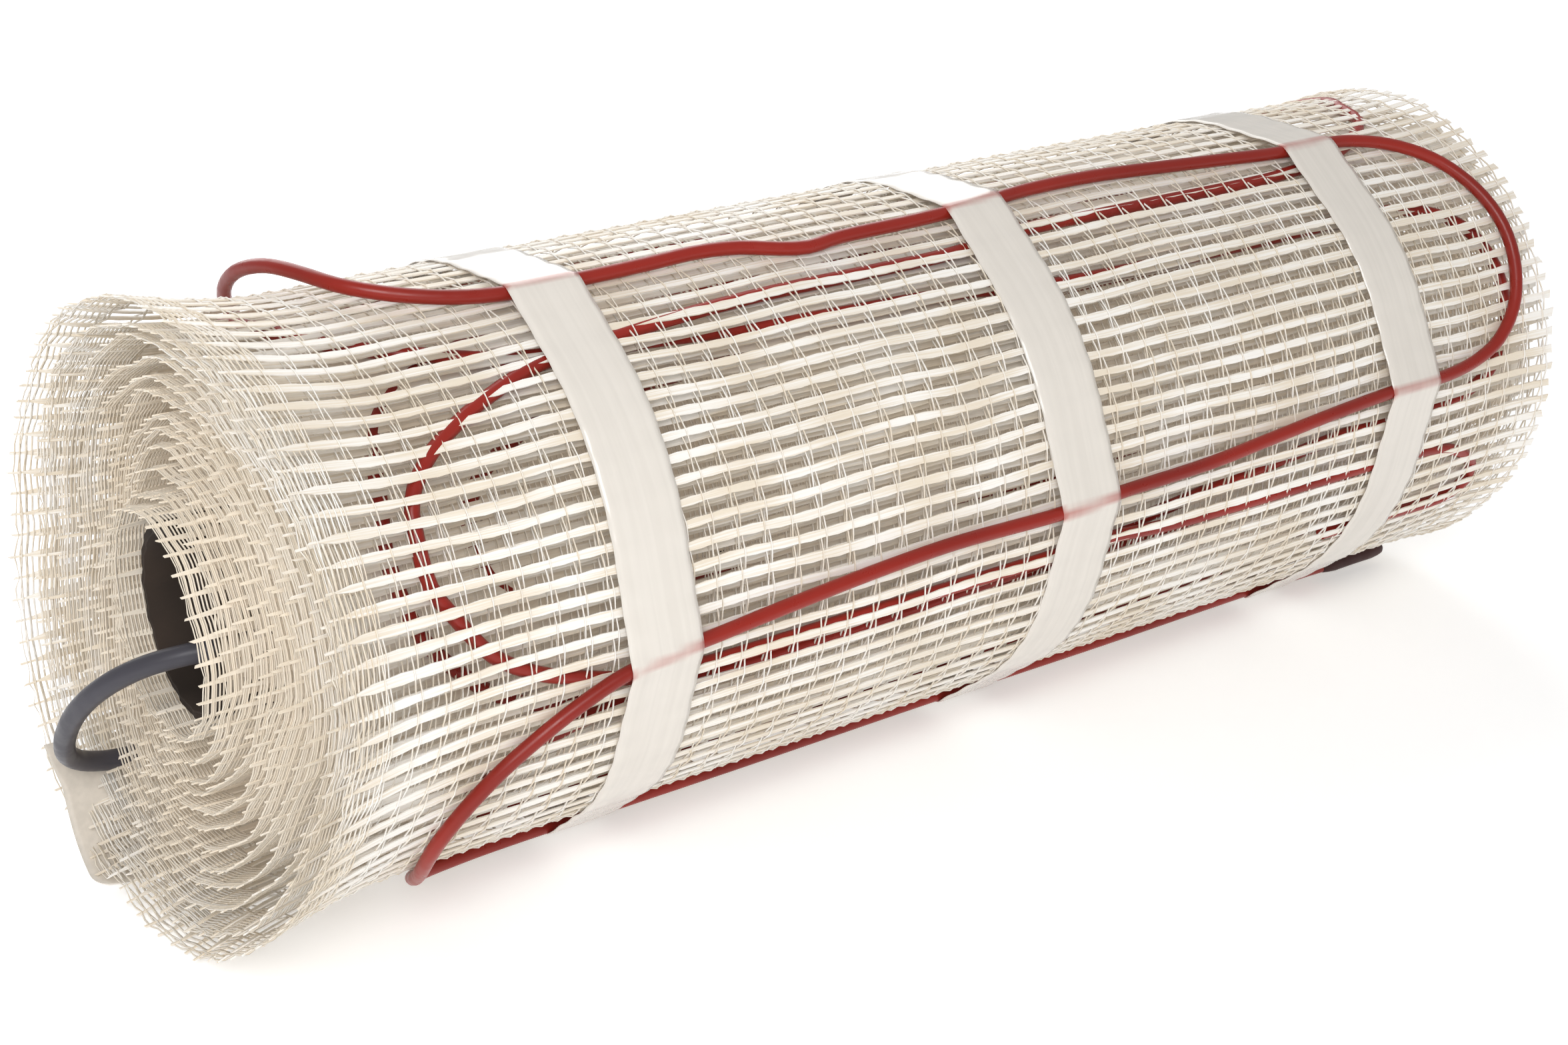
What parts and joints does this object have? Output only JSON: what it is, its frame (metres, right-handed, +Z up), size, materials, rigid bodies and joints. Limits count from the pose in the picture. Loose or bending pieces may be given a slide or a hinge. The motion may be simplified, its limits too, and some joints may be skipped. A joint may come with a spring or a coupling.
{
  "type": "rolled underfloor heating mat",
  "caption": "Rolled underfloor heating mat: open glass-fibre mesh on a cardboard tube, with a looped heating cable, film tape bands and a supply lead tucked into the bore.",
  "frame": {"origin": "on the floor, under the middle of the roll", "axes": "+X along the roll, away from the end where the supply lead comes out; +Z up; -Y is the side that the picture shows"},
  "size_m": [0.536, 0.1896, 0.1921],
  "materials": {
    "cardboard": "spiral-wound tube, rough cut ends",
    "glass_mesh": "coated open glass-fibre mesh, warm ivory",
    "red_cable": "dark red sheath, soft gloss",
    "dark_sleeve": "heat-shrunk end sleeve",
    "film_tape": "milky clear packing film, glossy",
    "grey_lead": "dark blue-grey sheath, satin",
    "paper_label": "coated paper flag, matt"
  },
  "bodies": {
    "root": {"core_tube": "cardboard", "mat_roll": "glass_mesh", "heating_cable": "red_cable", "end_sleeve": "dark_sleeve", "tape_near": "film_tape", "tape_middle": "film_tape", "tape_far": "film_tape", "supply_lead": "grey_lead", "lead_hank": "grey_lead", "lead_label": "paper_label"}
  },
  "joints": []
}
